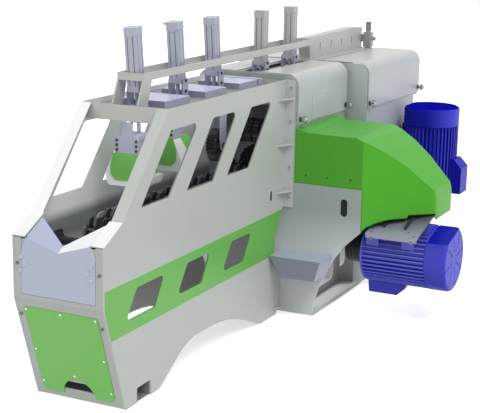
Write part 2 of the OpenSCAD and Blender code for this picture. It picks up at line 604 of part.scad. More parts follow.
// Milling module: front wall with the concave lower edge, frame behind it
mill_arc = [[540, 0], [548, 101], [579, 208], [629, 318], [678, 415], [752, 520], [827, 595], [876, 640]];
module log_window() polygon(round_poly([[-v_half, 905], [v_half, 905], [v_half, log_top],
    [-v_half, log_top]], 30));
function portal(w, z) = round_poly([[-w, z], [-w, hood_z - 8], [w, hood_z - 8], [w, z]], [0, 80, 80, 0], 6);
module mill_front_wall() color([0.72, 0.74, 0.74]) placed() xz(joint_y, 10) difference() {
    polygon(round_poly(concat(mill_arc, [[876, 941], [376, 941], [376, hood_z - 8], [-376, hood_z - 8],
        [-376, 640], [-540, 400], [-540, 0]]), [0, 0, 0, 0, 0, 0, 0, 0, 0, 0, 80, 80, 0, 0, 0], 6));
    log_window();
    translate([750, 802]) slot2(50, 123);
    for (x = [-345, 345]) for (z = [1050, 1370, 1600]) translate([x, z]) circle(r = 8 + bolt_gap);
    for (x = [-345, 345]) translate([x, 840]) circle(r = 8 + bolt_gap);
}
hinge_room = 18;
module hinge_lug(x0, xh, y, w) difference() {
    xz(y, w) {
        translate([xh, hinge_z]) circle(r = 9);
        polygon([[x0 - 6, hinge_z - 27], [x0 - 6, hinge_z - 5], [xh, hinge_z + 9], [xh + 8, hinge_z - 4],
            [x0, hinge_z - 27]]);
    }
    rod_y(y - 1, y + w + 1, xh, hinge_z, pin_r + run);
}
module mill_frame() color([0.62, 0.64, 0.64]) placed() {
    difference() {
        box(-hood2_w, hood2_w, 2325, 3256, 0, 10);
        box(-180, 180, 2500, 3000, -1, 11);
    }
    both() box(hood2_w - 20, hood2_w, 2325, 3256, 9, 30);
    both() box(hood2_w - 43, hood2_w, 3200, 3256, 9, 380);
    both() difference() {
        yz(wall1 - 10, 10) difference() {
            polygon([[2325, 9], [3210, 9], [3210, 1440], [2325, 1440]]);
            polygon(round_poly([[2480, 60], [3080, 60], [3080, 640], [2480, 640]], 60));
        }
        rod_x(wall1 - 11, wall1 + 1, arbor_y, arbor_z, arbor_r + 12);
    }
    difference() {
        xz(3200, 10) difference() {
            union() {
                polygon(portal(376, 900));
                polygon([[-wall1 + 9, 9], [wall1 - 9, 9], [wall1 - 9, 1336], [-wall1 + 9, 1336]]);
            }
            log_window();
            polygon(round_poly([[-300, 80], [300, 80], [300, 780], [-300, 780]], 60));
        }
        both() rod_y(3199, 3211, hinge1_x, hinge_z, hinge_room);
    }
    difference() {
        box(-84, 84, 2325, 3210, 1602, roof_z);
        box(-76, 76, 2335, 3200, 1610, roof_z - 8);
        for (i = [3, 4]) rod_z(1600, roof_z + 1, 0, cyl_y[i], rod_r + 6);
    }
    both() for (y = [2342, 2770, 3190]) hinge_lug(84, hinge1_x, y, 16);
    // Outrigger shaft that carries the swinging motor plate
    rod_x(wall1 - 5, 1272, swing_y, swing_z, 25);
    rod_x(wall1 - 1, wall1 + 24, swing_y, swing_z, 60);
    both() box(355, wall1 - 9, 2325, 2345, 9, 1330);
}
module chip_chute() color([0.66, 0.67, 0.78]) placed() difference() {
    xz(2085, joint_y - 2085) polygon([[303, 461], [681, 461], [641, 320], [395, 320]]);
    xz(2091, joint_y - 2085) polygon([[316, 455], [673, 455], [634, 319], [402, 319]]);
}

// Belt guard: a sheet hood whose wall flares out over the main motor
guard_top = [[377, 1318], [469, 1296], [825, 1292], [890, 1264], [1000, 1190], [1120, 1085], [1220, 972],
    [1272, 915], [1285, 860]];
function shift_all(p, d) = [for (q = p) [q[0] + d[0], q[1] + d[1]]];
module guard_solid(d) intersection() {
    xy(600, 800) polygon(concat([[370 + (d > 0 ? -30 : 7), joint_y + d], [876 - d * 0.4, joint_y + d]],
        [for (a = [0:3]) [1262 - d * 0.9 + [0, 14, 21, 23][a], 2662 + d * 0.3 + [0, 16, 38, 62][a]]],
        [[1285 - d, 3040 - d], [370 + (d > 0 ? -30 : 7), 3040 - d]]));
    xz(2300, 800) polygon(concat([[340, 590], [340, 1318 - d]], shift_all(guard_top, [-d * 0.6, -d]),
        [[1285 - d, 590]]));
}
module belt_guard() color([0.38, 0.68, 0.27]) placed() difference() {
    guard_solid(0);
    guard_solid(sheet_t);
    box(300, 877, joint_y - 5, joint_y + 10.6, 500, 941.5);
    xz(joint_y - 20, 800) polygon(concat([[300, 500]], [[300, 700], [860, 700], [860, 647], [876.5, 647],
        [905, 678], [950, 702], [1000, 719], [1050, 727], [1128, 728], [1134, 750],
        [1279, 750], [1279, 708], [1300, 702]], [[1300, 500]]));
    box(300, wall1, joint_y + 10, 3100, 500, 1400);
    for (x = [460, 620, 790]) rod_y(joint_y - 1, joint_y + 6, x, 1000, 5);
}

// Cutting tools on the arbor
module tooth_disc2(r, d, n) polygon([for (i = [0:n - 1]) for (k = [0:2])
    [r - d, r, r - d][k] * [cos((i + [0, 0.35, 0.5][k]) * 360 / n), sin((i + [0, 0.35, 0.5][k]) * 360 / n)]]);
module arbor_shaft() color([0.55, 0.56, 0.58]) placed() translate([0, arbor_y, arbor_z]) {
    rod_x(-340, 845, 0, 0, arbor_r);
    difference() {
        rod_x(belt_x0 - 8, belt_x1 + 8, 0, 0, pulley2_r);
        for (x = belt_at) groove_ring(x, pulley2_r);
    }
}
module groove_ring(x, r) difference() {
    rod_x(x - 9, x + 9, 0, 0, r + 4);
    rod_x(x - 10, x + 10, 0, 0, r - 11);
}
module milling_heads() color([0.2, 0.21, 0.23]) placed() translate([0, arbor_y, arbor_z]) both() {
    for (k = [0:3]) difference() {
        translate([128 + k * 20, 0, 0]) rotate([k * 7, 0, 0]) yz(0, 20.2) tooth_disc2(200 - k * 9, 16, 14);
        rod_x(100, 260, 0, 0, arbor_r);
    }
}
module saw_blades() color([0.75, 0.76, 0.78]) placed() translate([0, arbor_y, arbor_z]) for (x = [-70, 64]) {
    difference() {
        yz(x, 6) tooth_disc2(240, 14, 30);
        rod_x(x - 1, x + 7, 0, 0, arbor_r);
        for (a = [45:90:315]) rotate([a, 0, 0]) rod_x(x - 1, x + 7, 0, 150, 22);
    }
    difference() {
        rod_x(x - 14, x + 20, 0, 0, 72);
        rod_x(x - 15, x + 21, 0, 0, arbor_r);
    }
}

// V belts: the band between two pulleys, as wide as the stated groove
module belt_path2(p0, r0, p1, r1, t) {
    d = norm(p1 - p0);
    a = atan2(p1[1] - p0[1], p1[0] - p0[0]);
    b = acos((r0 - r1) / d);
    difference() {
        belt_fill2(p0, r0 + t, p1, r1 + t, a, b);
        belt_fill2(p0, r0, p1, r1, a, b);
    }
}
module belt_fill2(p0, r0, p1, r1, a, b) {
    translate(p0) circle(r = r0);
    translate(p1) circle(r = r1);
    polygon([p0 + r0 * [cos(a + b), sin(a + b)], p1 + r1 * [cos(a + b), sin(a + b)],
        p1 + r1 * [cos(a - b), sin(a - b)], p0 + r0 * [cos(a - b), sin(a - b)]]);
}
belt_in = 10.6;
module drive_belts() color([0.12, 0.12, 0.13]) placed() {
    for (x = belt_at) yz(x - 7, 14)
        belt_path2([motor_y, motor_z], pulley1_r - belt_in, [arbor_y, arbor_z], pulley2_r - belt_in, 12);
    for (z = [500:24:560]) xy(z + 12 - 7, 14)
        belt_path2([side_x, side_y], pulley1_r - belt_in, [spindle_x, side_y], 70 - belt_in, 12);
}

// Motors, drawn with the shaft along +Z from the drive end and the feet towards +Y
module fins2(r0, r1, n) polygon([for (i = [0:n - 1]) for (k = [0:3])
    [r0, r1, r1, r0][k] * [cos((i + [0, 0.1, 0.42, 0.52][k]) * 360 / n), sin((i + [0, 0.1, 0.42, 0.52][k]) * 360 / n)]]);
module motor_housing(l) difference() {
    union() {
        xy(14, l - 20) fins2(203, motor_h - 1.5, 44);
        cylinder(h = 16, r = 218);
        translate([0, 0, l - 8]) cylinder(h = 8, r = 214);
        for (x = [-178, 118]) for (z = [40, l - 170]) difference() {
            xy(z, 90) polygon([[x, 60], [x + 60, 60], [x + 60, motor_h], [x, motor_h]]);
            translate([x + 30, motor_h - 30, z + 45]) rotate([-90, 0, 0]) cylinder(h = 40, r = 9);
        }
        xy(60, 219) polygon([[-60, -190], [60, -190], [60, -232], [-60, -232]]);
    }
    translate([0, 0, -1]) cylinder(h = l + 2, r = 30 + run);
    translate([0, 0, 30]) cylinder(h = l - 60, r = 165);
}
module motor_cowl(l) difference() {
    rotate_extrude() polygon([[40, l + cowl_l], [206, l + cowl_l], [220, l + cowl_l - 8], [226, l + cowl_l - 22],
        [226, l], [221, l], [221, l + cowl_l - 24], [204, l + cowl_l - 6], [40, l + cowl_l - 6]]);
    translate([-250, 175, l - 1]) cube([500, 100, cowl_l + 5]);
    for (r = [60:26:190]) for (a = [0:45:315]) rotate(a) translate([r, -6, l + cowl_l - 12])
        cube([14, 12, 20]);
}
module motor_cowl_wall(l) xy(l, cowl_l - 6) polygon([[-136, 171], [136, 171], [136, 175], [-136, 175]]);
module motor_rotor(l, out) {
    translate([0, 0, -out]) cylinder(h = out + l + 60, r = 30);
    translate([0, 0, 60]) cylinder(h = l - 140, r = 150);
    translate([0, 0, l + 35]) {
        cylinder(h = 8, r = 150);
        cylinder(h = 40, r = 55);
        for (a = [0:45:315]) rotate(a) translate([50, -3, 7]) cube([92, 6, 30]);
    }
}
module motor_box() difference() {
    yz(-90, 180) polygon([[-190, 6], [-298, 6], [-298, 212], [-236, 279], [-190, 279]]);
    cylinder(h = 600, r = 227);
    box(-60.2, 60.2, -232, -180, 59.8, 290);
    yz(-91, 1.5) polygon([[-280, 6], [-281.5, 6], [-281.5, 224], [-280, 224]]);
    for (z = [24, 190]) for (x = [-74, 74]) translate([x, -294, z]) rotate([90, 0, 0]) cylinder(h = 20, r = 6);
}
module as_main() translate([0, motor_y, motor_z]) rotate([plate_tilt, 0, 0]) children();
module lay() translate([motor_x, 0, 0]) rotate([90, 0, 90]) children();
module as_side() translate([side_x, side_y, side_z0]) rotate([0, 0, 90]) children();
module main_motor_housing() color([0.22, 0.22, 0.62]) placed() as_main() lay() motor_housing(motor_l1);
module main_motor_cowl() color([0.3, 0.3, 0.75]) placed() as_main() lay() {
    motor_cowl(motor_l1);
    motor_cowl_wall(motor_l1);
}
module main_motor_box() color([0.3, 0.3, 0.62]) placed() as_main() lay() motor_box();
module main_motor_rotor() color([0.6, 0.61, 0.63]) placed() as_main() lay() {
    motor_rotor(motor_l1, motor_x - belt_x0 + 10);
    translate([0, 0, belt_x0 - motor_x - 8]) difference() {
        cylinder(h = belt_x1 - belt_x0 + 16, r = pulley1_r);
        for (x = belt_at) rotate([0, -90, 0]) groove_ring(x - belt_x0 + 8, pulley1_r);
    }
}
module side_motor_housing() color([0.22, 0.22, 0.62]) placed() as_side() motor_housing(side_l);
module side_motor_cowl() color([0.3, 0.3, 0.75]) placed() as_side() {
    motor_cowl(side_l);
    motor_cowl_wall(side_l);
}
module side_motor_box() color([0.3, 0.3, 0.62]) placed() as_side() motor_box();
module side_motor_rotor() color([0.6, 0.61, 0.63]) placed() as_side() {
    motor_rotor(side_l, 125);
    translate([0, 0, 492 - side_z0]) difference() {
        cylinder(h = 88, r = pulley1_r);
        for (z = [500:24:560]) rotate([0, -90, 0]) groove_ring(z + 12 - 492, pulley1_r);
    }
}
module side_cutter() color([0.2, 0.21, 0.23]) placed() translate([spindle_x, side_y, 0]) {
    rod_z(480, 1160, 0, 0, 28);
    difference() {
        rod_z(492, 580, 0, 0, 70);
        for (z = [500:24:560]) rotate([0, -90, 0]) groove_ring(z + 12, 70);
    }
    for (k = [0:4]) rotate(k * 8) xy(1000 + k * 30, 30.2) tooth_disc2(125, 14, 12);
    rod_z(980, 1001, 0, 0, 60);
    rod_z(1149, 1156, 0, 0, 60);
}

// Swinging motor plate: flat plate on the motor's feet with two hinge eyes at its rear edge
module motor_plate() color([0.6, 0.6, 0.66]) placed() as_main() difference() {
    union() {
        box(909, 1272, -226, 330, motor_h, motor_h + 15);
        for (x = [915, 1205]) {
            rod_x(x, x + 60, hub_d, hub_h, 40);
            box(x, x + 60, 300, hub_d, motor_h, motor_h + 15);
        }
        for (x = [1000, 1150]) box(x, x + 12, -120, 329, motor_h + 14, motor_h + 42);
    }
    rod_x(900, 1280, hub_d, hub_h, 25 + run);
    for (x = [-148, 148]) for (z = [motor_x + 85, motor_x + motor_l1 - 125])
        translate([z, x, motor_h - 1]) cylinder(h = 60, r = 9);
    for (x = [940, 1245]) translate([x, -200, motor_h - 1]) cylinder(h = 20, r = 8);
}

// Outfeed module frame
module outfeed_frame() color([0.62, 0.64, 0.64]) placed() {
    for (y = [hood2_y0, 4340]) xz(y, 10) difference() {
        union() {
            if (y == hood2_y0) polygon(portal(wall2, 900));
            polygon([[-wall2, 0], [wall2, 0], [wall2, 1345], [-wall2, 1345]]);
        }
        log_window();
        polygon(round_poly([[-400, 90], [400, 90], [400, 600], [-400, 600]], 80));
        for (x = [-hinge2_x, hinge2_x]) translate([x, hinge_z]) circle(r = hinge_room);
    }
    xz(4426, 10) difference() {
        polygon(portal(wall2, 1330));
        log_window();
        for (x = [-hinge2_x, hinge2_x]) translate([x, hinge_z]) circle(r = hinge_room);
        for (x = [-280, 280]) for (z = [1380, 1620]) translate([x, z]) circle(r = 7);
    }
    both() difference() {
        yz(wall2 - 10, 10) difference() {
            polygon([[3279, 0], [4350, 0], [4350, 1331], [4436, 1331], [4436, 1440], [3279, 1440]]);
            polygon(round_poly([[3400, 90], [3860, 90], [3860, 640], [3400, 640]], 60));
        }
        box(wall2 - 12, wall2 + 2, side_y - 125, side_y + 125, 485, 590);
    }
    difference() {
        box(-wall2, wall2, 3280, 4340, 0, 10);
        for (x = [-480, 480]) for (y = [3340, 4280]) rod_z(-1, 11, x, y, 9);
    }
    difference() {
        box(-spine2_x, spine2_x, 3279, 4430, 1604, hood_z);
        box(9 - spine2_x, spine2_x - 9, 3270, 4440, 1613, hood_z - 9);
    }
    both() for (y = [3292, 3860, 4400]) hinge_lug(spine2_x, hinge2_x, y, 16);
    // Shelf of the upright spindle and the seat of the side motor
    difference() {
        box(v_half, wall2 - 9, 3930, 4250, 690, 700);
        rod_z(680, 710, spindle_x, side_y, 40);
    }
    for (y = [3930, 4240]) yz(v_half, wall2 - v_half - 9) polygon([[y, 560], [y + 10, 560], [y + 10, 695], [y, 695]]);
    difference() {
        box(wall2, side_x - motor_h, 3900, 4280, 640, 1100);
        for (x = [-148, 148]) for (z = [85, side_l - 125])
            rod_x(wall2 - 1, side_x, side_y + x, side_z0 + z, 9);
    }
}

// Hood halves: a folded sheet hinged along its upper edge
module hood_half(w, xh, y0, y1, zl, lugs) {
    p = [[xh + 3, hood_z], [w, hood_z], [w, zl], [w - sheet_t, zl], [w - sheet_t, hood_z - sheet_t],
        [xh - 3, hood_z - sheet_t], [xh - 3, hood_z]];
    difference() {
        union() {
            xz(y0, y1 - y0) polygon(round_poly(p, [0, 90, 0, 0, 86, 0, 0], 8));
            box(xh - 3, xh + 3, y0 + 4, y1 - 4, hinge_z, hood_z);
            for (y = [y0 + 130, (y0 + y1) / 2 + 60, y1 - 140]) xz(y, 4)
                translate([w - 90, hood_z - 90]) intersection() {
                    difference() {
                        circle(r = 87.5);
                        circle(r = 62);
                    }
                    square(90);
                }
        }
        for (q = lugs) box(xh - 12, xh + 12, q - 2, q + 18, hinge_z - 15, hood_z - sheet_t);
        for (y = [y0 + 24, y1 - 30]) rod_x(w - 10, w + 1, y, zl + 40, pin_r + bolt_gap);
    }
    rod_y(y0 + 4, y1 - 4, xh, hinge_z, pin_r);
}
module hood1() {
    hood_half(hood1_w, hinge1_x, hood1_y0, hood1_y1, 1340, [2342, 2770, 3190]);
    difference() {
        yz(hood1_w - 0.5, 3.5) polygon(round_poly([[2560, 1350], [2860, 1350], [2860, 1525], [2560, 1525]], 8, 3));
        for (y = [2600, 2680]) rod_x(hood1_w + 1, hood1_w + 5, y, 1500, 5);
    }
}
module hood2() hood_half(hood2_w, hinge2_x, hood2_y0, hood2_y1, 1348, [3292, 3860, 4400]);
module hood_1_right() color([0.7, 0.72, 0.72]) placed() hood1();
module hood_1_left() color([0.7, 0.72, 0.72]) placed() mirror([1, 0, 0]) hood1();
module hood_2_right() color([0.7, 0.72, 0.72]) placed() hood2();
module hood_2_left() color([0.7, 0.72, 0.72]) placed() mirror([1, 0, 0]) hood2();

// Hand screws at the lower corners of the hoods
module hand_screw(w) translate([w, 0, 0]) rotate([0, 90, 0]) {
    translate([0, 0, -7]) cylinder(h = 20, r = pin_r);
    rotate_extrude() polygon([[0, 0], [11, 0], [11, 4], [7, 8], [7, 20], [14, 26], [18, 36], [17, 46],
        [11, 54], [0, knob_out]]);
}
module hood_knobs(w, y0, y1, zl) for (y = [y0 + 24, y1 - 30]) translate([0, y, zl + 40]) hand_screw(w);
module hood_1_knobs_right() color([0.7, 0.7, 0.7]) placed() hood_knobs(hood1_w, hood1_y0, hood1_y1, 1340);
module hood_1_knobs_left() color([0.7, 0.7, 0.7]) placed() mirror([1, 0, 0])
    hood_knobs(hood1_w, hood1_y0, hood1_y1, 1340);
module hood_2_knobs_right() color([0.7, 0.7, 0.7]) placed() hood_knobs(hood2_w, hood2_y0, hood2_y1, 1348);
module hood_2_knobs_left() color([0.7, 0.7, 0.7]) placed() mirror([1, 0, 0])
    hood_knobs(hood2_w, hood2_y0, hood2_y1, 1348);

infeed_side_right();
infeed_side_left();
nose_frame();
infeed_funnel();
nose_cover();
frame_bolts();
roof_frame();
roof_covers();
chain_bed();
feed_chain();
chain_drive_shaft();
chain_idler_shaft();
shaft_bearings();
cylinder_feet();
cylinder_1();
cylinder_2();
cylinder_3();
cylinder_4();
cylinder_5();
press_slide_1();
press_slide_2();
press_slide_3();
press_slide_4();
press_slide_5();
press_shoe_1();
press_shoe_2();
press_wheel_3();
press_roller_4();
press_roller_5();
top_rail();
rail_box();
regulator_body();
regulator_knob();
mill_front_wall();
mill_frame();
chip_chute();
belt_guard();
arbor_shaft();
milling_heads();
saw_blades();
drive_belts();
motor_plate();
main_motor_housing();
main_motor_cowl();
main_motor_box();
main_motor_rotor();
outfeed_frame();
hood_1_right();
hood_1_left();
hood_2_right();
hood_2_left();
hood_1_knobs_right();
hood_1_knobs_left();
hood_2_knobs_right();
hood_2_knobs_left();
side_motor_housing();
side_motor_cowl();
side_motor_box();
side_motor_rotor();
side_cutter();
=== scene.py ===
import json
import math

import bmesh
import bpy
from mathutils import Matrix, Vector


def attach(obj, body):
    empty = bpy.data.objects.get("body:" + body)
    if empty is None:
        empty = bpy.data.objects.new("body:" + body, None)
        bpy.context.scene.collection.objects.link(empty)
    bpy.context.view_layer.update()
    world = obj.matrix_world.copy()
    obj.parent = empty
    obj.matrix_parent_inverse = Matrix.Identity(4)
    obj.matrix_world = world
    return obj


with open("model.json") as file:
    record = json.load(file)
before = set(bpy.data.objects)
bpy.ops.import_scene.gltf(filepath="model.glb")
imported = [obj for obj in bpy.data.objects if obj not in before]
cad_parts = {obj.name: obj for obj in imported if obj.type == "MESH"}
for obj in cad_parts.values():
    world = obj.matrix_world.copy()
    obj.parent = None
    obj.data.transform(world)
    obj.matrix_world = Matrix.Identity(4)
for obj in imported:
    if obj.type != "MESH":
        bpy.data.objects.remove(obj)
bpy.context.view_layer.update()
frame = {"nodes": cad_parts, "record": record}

# The part's origin lies at this place of the coordinates that the sizes below are written in (mm)
SHIFT = (430.0, 2221.0, 0.0)
# Camera place (mm), its angles (degrees), focal length in pixels of a picture this wide
CAMERA_AT = (3755, -5387, 2694)
CAMERA_YAW, CAMERA_PITCH, CAMERA_ROLL = 26.23, 12.93, 0.91
FOCAL_PX, PICTURE_W = 1238, 480
# Side plates: inner face, coloured band from and to this height
SIDE_IN = 289
BAND_LOW, BAND_HIGH = 449, 748
# Motor plate: tilt about the motor's shaft, its place, height of the plate over the shaft
TILT, MOTOR_Y, MOTOR_Z, MOTOR_H = math.radians(13.5), 2604, 468, 225
PLATE_TOP = MOTOR_H + 15.4
# Half widths of the two hoods, and the first module's inner wall
HOOD_1_W, HOOD_2_W = 390, 543
MILL_WALL = 410


def P(x, y, z):
    return Vector(((x - SHIFT[0]) / 1000, (y - SHIFT[1]) / 1000, (z - SHIFT[2]) / 1000))


def linear(rgb):
    out = []
    for v in rgb:
        v = v / 255
        out.append(v / 12.92 if v <= 0.04045 else ((v + 0.055) / 1.055) ** 2.4)
    return (out[0], out[1], out[2], 1.0)


# Camera
YAW, PITCH, ROLL = (math.radians(a) for a in (CAMERA_YAW, CAMERA_PITCH, CAMERA_ROLL))
fw = Vector((-math.sin(YAW) * math.cos(PITCH), math.cos(YAW) * math.cos(PITCH), -math.sin(PITCH)))
rt = fw.cross(Vector((0, 0, 1))).normalized()
up = rt.cross(fw)
right = rt * math.cos(ROLL) + up * math.sin(ROLL)
up2 = -rt * math.sin(ROLL) + up * math.cos(ROLL)
cam_data = bpy.data.cameras.new("camera")
cam_data.sensor_width = 36
cam_data.lens = cam_data.sensor_width * FOCAL_PX / PICTURE_W
cam_data.clip_end = 200
cam = bpy.data.objects.new("camera", cam_data)
bpy.context.scene.collection.objects.link(cam)
rot = Matrix((right, up2, -fw)).transposed()
cam.matrix_world = Matrix.Translation(P(*CAMERA_AT)) @ rot.to_4x4()
bpy.context.scene.camera = cam


# Materials
def new_mat(name):
    m = bpy.data.materials.new(name)
    m.use_nodes = True
    nt = m.node_tree
    nt.nodes.clear()
    out = nt.nodes.new("ShaderNodeOutputMaterial")
    b = nt.nodes.new("ShaderNodeBsdfPrincipled")
    nt.links.new(b.outputs["BSDF"], out.inputs["Surface"])
    return m, nt, b


def noise(nt, scale, detail=3.0):
    tc = nt.nodes.new("ShaderNodeTexCoord")
    n = nt.nodes.new("ShaderNodeTexNoise")
    n.inputs["Scale"].default_value = scale
    n.inputs["Detail"].default_value = detail
    nt.links.new(tc.outputs["Object"], n.inputs["Vector"])
    return n.outputs["Fac"]


def ramp(nt, fac, lo, hi):
    r = nt.nodes.new("ShaderNodeMapRange")
    r.inputs["To Min"].default_value = lo
    r.inputs["To Max"].default_value = hi
    nt.links.new(fac, r.inputs["Value"])
    return r.outputs["Result"]


def mix_color(nt, fac, a, b):
    m = nt.nodes.new("ShaderNodeMix")
    m.data_type = "RGBA"
    for sock, v in ((m.inputs[6], a), (m.inputs[7], b)):
        if isinstance(v, (tuple, list)):
            sock.default_value = v
        else:
            nt.links.new(v, sock)
    nt.links.new(fac, m.inputs[0])
    return m.outputs[2]


def math_node(nt, op, a, b):
    m = nt.nodes.new("ShaderNodeMath")
    m.operation = op
    for i, v in enumerate((a, b)):
        if isinstance(v, (int, float)):
            m.inputs[i].default_value = v
        else:
            nt.links.new(v, m.inputs[i])
    return m.outputs[0]


def between(nt, value, lo, hi):
    a = math_node(nt, "GREATER_THAN", value, lo)
    b = math_node(nt, "LESS_THAN", value, hi)
    return math_node(nt, "MULTIPLY", a, b)


def edge_normal(nt, b, radius, bump=0.0, scale=60.0):
    bev = nt.nodes.new("ShaderNodeBevel")
    bev.samples = 4
    bev.inputs["Radius"].default_value = radius
    if bump > 0:
        bm = nt.nodes.new("ShaderNodeBump")
        bm.inputs["Strength"].default_value = bump
        bm.inputs["Distance"].default_value = 0.001
        nt.links.new(noise(nt, scale, 4.0), bm.inputs["Height"])
        nt.links.new(bev.outputs["Normal"], bm.inputs["Normal"])
        nt.links.new(bm.outputs["Normal"], b.inputs["Normal"])
    else:
        nt.links.new(bev.outputs["Normal"], b.inputs["Normal"])


def paint(name, rgb, rough=0.35, tone=0.03, radius=0.002, bump=0.03, spec=0.5):
    m, nt, b = new_mat(name)
    c = linear(rgb)
    dark = tuple(v * (1 - tone) for v in c[:3]) + (1.0,)
    light = tuple(min(1.0, v * (1 + tone)) for v in c[:3]) + (1.0,)
    col = mix_color(nt, noise(nt, 3.0), dark, light)
    nt.links.new(col, b.inputs["Base Color"])
    nt.links.new(ramp(nt, noise(nt, 9.0), rough - 0.04, rough + 0.05), b.inputs["Roughness"])
    b.inputs["Specular IOR Level"].default_value = spec
    edge_normal(nt, b, radius, bump, 140.0)
    return m


def metal(name, rgb, rough=0.35, metallic=0.8, tone=0.06, radius=0.001):
    m, nt, b = new_mat(name)
    c = linear(rgb)
    dark = tuple(v * (1 - tone) for v in c[:3]) + (1.0,)
    light = tuple(min(1.0, v * (1 + tone)) for v in c[:3]) + (1.0,)
    nt.links.new(mix_color(nt, noise(nt, 14.0), dark, light), b.inputs["Base Color"])
    b.inputs["Metallic"].default_value = metallic
    nt.links.new(ramp(nt, noise(nt, 30.0), rough - 0.06, rough + 0.08), b.inputs["Roughness"])
    edge_normal(nt, b, radius, 0.04, 220.0)
    return m


def side_paint(name, base, band, outward):
    """Light paint with a coloured band along the outer face of the side plate."""
    m, nt, b = new_mat(name)
    tc = nt.nodes.new("ShaderNodeTexCoord")
    xyz = nt.nodes.new("ShaderNodeSeparateXYZ")
    nt.links.new(tc.outputs["Object"], xyz.inputs["Vector"])
    inside = between(nt, xyz.outputs["Z"], BAND_LOW / 1000, BAND_HIGH / 1000)
    edge = P(299.5 * outward, 0, 0).x
    if outward > 0:
        face = math_node(nt, "GREATER_THAN", xyz.outputs["X"], edge)
    else:
        face = math_node(nt, "LESS_THAN", xyz.outputs["X"], edge)
    on = math_node(nt, "MULTIPLY", inside, face)
    tone = mix_color(nt, noise(nt, 2.5), tuple(v * 0.97 for v in linear(base)[:3]) + (1,), linear(base))
    green = mix_color(nt, noise(nt, 2.5), tuple(v * 0.95 for v in linear(band)[:3]) + (1,), linear(band))
    nt.links.new(mix_color(nt, on, tone, green), b.inputs["Base Color"])
    nt.links.new(ramp(nt, noise(nt, 9.0), 0.34, 0.42), b.inputs["Roughness"])
    edge_normal(nt, b, 0.002, 0.03, 140.0)
    return m


def lit_faces(name, rgb, rough, up_lighting, front_lighting, side_lighting, spec=0.5, radius=0.003):
    """Glossy paint with painted light and shade: upper, front and side faces each get their own lighter or
    darker colour, as light falls on them.
    """
    m, nt, b = new_mat(name)
    tc = nt.nodes.new("ShaderNodeTexCoord")
    xyz = nt.nodes.new("ShaderNodeSeparateXYZ")
    nt.links.new(tc.outputs["Normal"], xyz.inputs["Vector"])

    def part(axis, sign):
        v = math_node(nt, "MULTIPLY", xyz.outputs[axis], sign)
        v = math_node(nt, "MAXIMUM", v, 0.0)
        return math_node(nt, "MULTIPLY", v, v)

    col = linear(rgb)
    for fac, tone in ((part("Z", 1), up_lighting), (part("Y", -1), front_lighting), (part("X", 1), side_lighting)):
        col = mix_color(nt, fac, col, linear(tone))
    nt.links.new(col, b.inputs["Base Color"])
    nt.links.new(ramp(nt, noise(nt, 8.0), rough - 0.03, rough + 0.04), b.inputs["Roughness"])
    b.inputs["Specular IOR Level"].default_value = spec
    edge_normal(nt, b, radius, 0.02, 140.0)
    return m


def shade_graded(name, axis, stops, rough=0.4):
    """Painted light and shade: colour that goes through several stops along an axis, darker where shade lies,
    as under a low roof.
    """
    m, nt, b = new_mat(name)
    tc = nt.nodes.new("ShaderNodeTexCoord")
    xyz = nt.nodes.new("ShaderNodeSeparateXYZ")
    nt.links.new(tc.outputs["Object"], xyz.inputs["Vector"])
    k = "XYZ".index(axis)
    lo, hi = (P(v, v, v)[k] for v in (stops[0][0], stops[-1][0]))
    r = nt.nodes.new("ShaderNodeMapRange")
    r.inputs["From Min"].default_value = lo
    r.inputs["From Max"].default_value = hi
    nt.links.new(xyz.outputs[axis], r.inputs["Value"])
    colors = nt.nodes.new("ShaderNodeValToRGB")
    row = colors.color_ramp.elements
    while len(row) < len(stops):
        row.new(0.5)
    for element, (at, rgb) in zip(row, stops):
        element.position = (P(at, at, at)[k] - lo) / (hi - lo)
        element.color = linear(rgb)
    nt.links.new(r.outputs["Result"], colors.inputs["Fac"])
    nt.links.new(colors.outputs["Color"], b.inputs["Base Color"])
    b.inputs["Roughness"].default_value = rough
    edge_normal(nt, b, 0.003, 0.02, 140.0)
    return m


GRAY = (188, 191, 190)
